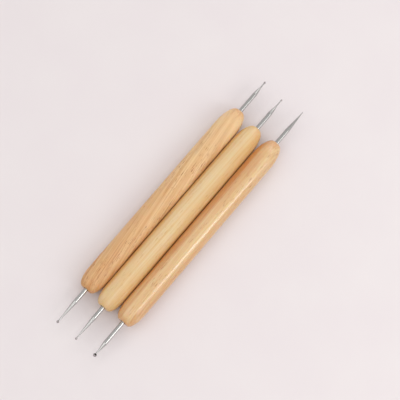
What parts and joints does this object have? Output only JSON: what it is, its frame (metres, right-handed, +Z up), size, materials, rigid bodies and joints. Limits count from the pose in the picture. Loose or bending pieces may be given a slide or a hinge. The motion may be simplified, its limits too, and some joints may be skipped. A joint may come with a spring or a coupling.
{
  "type": "embossing stylus set",
  "caption": "Double-ended ball styluses with turned wooden handles and ground steel shafts, laid side by side, for embossing, scoring and tracing.",
  "frame": {"origin": "centre of the row's box, on the table that the three handles lie on", "axes": "+X along the handles towards their slender nose ends, +Y towards the left stylus, +Z up from the table"},
  "size_m": [0.1422, 0.032, 0.0106],
  "materials": {
    "left_beech": "turned, sanded and clear lacquered beech, reddish",
    "middle_birch": "turned, sanded and clear lacquered birch, pale",
    "right_beech": "turned, sanded and clear lacquered beech, orange tan",
    "ground_steel": "bright drawn wire with a ground taper",
    "polished_steel": "polished bearing ball"
  },
  "bodies": {
    "middle": {"middle_handle": "middle_birch", "middle_nose_shaft": "ground_steel", "middle_nose_ball": "polished_steel", "middle_tail_shaft": "ground_steel", "middle_tail_ball": "polished_steel"},
    "left": {"left_handle": "left_beech", "left_nose_shaft": "ground_steel", "left_nose_ball": "polished_steel", "left_tail_shaft": "ground_steel", "left_tail_ball": "polished_steel"},
    "right": {"right_handle": "right_beech", "right_nose_shaft": "ground_steel", "right_nose_ball": "polished_steel", "right_tail_shaft": "ground_steel", "right_tail_ball": "polished_steel"}
  },
  "joints": [
    {"name": "left_lift", "type": "slide", "parent": "middle", "child": "left", "axis": [0, 0, 1], "range_m": [0, 0.06]},
    {"name": "right_lift", "type": "slide", "parent": "middle", "child": "right", "axis": [0, 0, 1], "range_m": [0, 0.06]}
  ]
}
